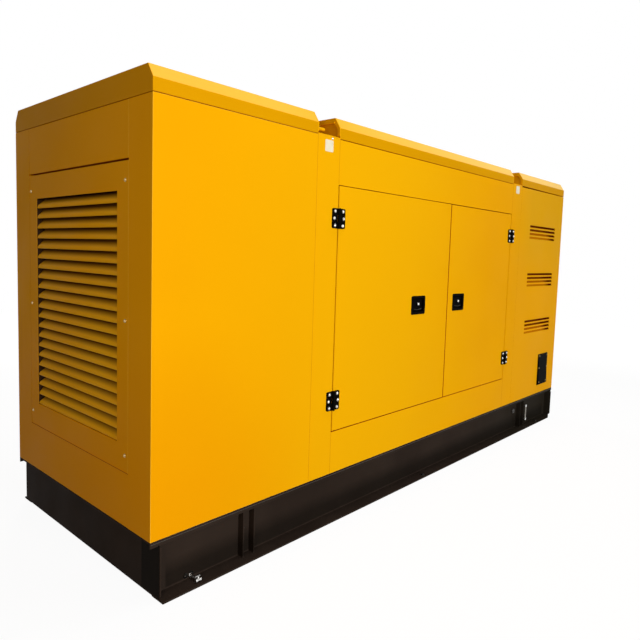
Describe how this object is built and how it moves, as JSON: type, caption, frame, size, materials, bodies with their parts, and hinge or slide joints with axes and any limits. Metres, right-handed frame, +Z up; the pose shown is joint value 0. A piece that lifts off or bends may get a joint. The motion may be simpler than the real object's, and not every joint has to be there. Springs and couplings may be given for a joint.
{
  "type": "silent-canopy diesel generator set",
  "caption": "Sheet-steel sound-proof generator canopy on a black skid, with side doors that open, louvred ends, air slots and a gapped three-part roof.",
  "frame": {"origin": "on the floor under the middle of the set", "axes": "+X along the length towards the slotted end, +Y towards the rear so that the front doors face -Y, +Z up"},
  "size_m": [4.7, 1.59, 2.39],
  "materials": {
    "yellow_paint": "semi-gloss",
    "black_paint": "gloss",
    "bright_steel": "satin",
    "clear_tube": "gloss",
    "label": "satin"
  },
  "bodies": {
    "canopy_and_skid": {"front_side_beam": "black_paint", "rear_side_beam": "black_paint", "left_end_beam": "black_paint", "right_end_beam": "black_paint", "base_deck": "black_paint", "beam_ribs": "black_paint", "fuel_gauge": "clear_tube", "tank_fittings": "bright_steel", "front_left_panel": "yellow_paint", "rear_left_panel": "yellow_paint", "front_right_panel": "yellow_paint", "rear_right_panel": "yellow_paint", "end_sills": "yellow_paint", "end_headers": "yellow_paint", "left_louvre_panel": "yellow_paint", "left_louvre_blades": "yellow_paint", "right_louvre_panel": "yellow_paint", "right_louvre_blades": "yellow_paint", "front_posts": "yellow_paint", "rear_posts": "yellow_paint", "front_header": "yellow_paint", "front_sill": "yellow_paint", "rear_header": "yellow_paint", "rear_sill": "yellow_paint", "front_door_frame": "yellow_paint", "rear_door_frame": "yellow_paint", "rear_doors": "yellow_paint", "roof_left": "yellow_paint", "roof_middle": "yellow_paint", "roof_right": "yellow_paint", "roof_trays": "yellow_paint", "lifting_lugs": "yellow_paint", "front_hinge_plates": "black_paint", "rear_hinges": "black_paint", "rear_latches": "black_paint", "outlet_box": "black_paint", "label_plates": "label"},
    "left_door": {"front_left_door": "yellow_paint", "left_door_hinge_leaves": "black_paint", "left_door_latch": "black_paint"},
    "right_door": {"front_right_door": "yellow_paint", "right_door_hinge_leaves": "black_paint", "right_door_latch": "black_paint"},
    "left_paddle": {"left_latch_paddle": "black_paint"},
    "right_paddle": {"right_latch_paddle": "black_paint"}
  },
  "joints": [
    {"name": "left_door_hinge", "type": "hinge", "parent": "canopy_and_skid", "child": "left_door", "pos_m": [-1.1425, -0.766, 1.275], "axis": [0, 0, -1], "range_deg": [0, 120]},
    {"name": "right_door_hinge", "type": "hinge", "parent": "canopy_and_skid", "child": "right_door", "pos_m": [1.1625, -0.766, 1.275], "axis": [0, 0, 1], "range_deg": [0, 120]},
    {"name": "left_paddle_pivot", "type": "hinge", "parent": "left_door", "child": "left_paddle", "pos_m": [-0.26, -0.743, 1.305], "axis": [-1, 0, 0], "range_deg": [0, 35]},
    {"name": "right_paddle_pivot", "type": "hinge", "parent": "right_door", "child": "right_paddle", "pos_m": [0.296, -0.743, 1.305], "axis": [-1, 0, 0], "range_deg": [0, 35]}
  ]
}
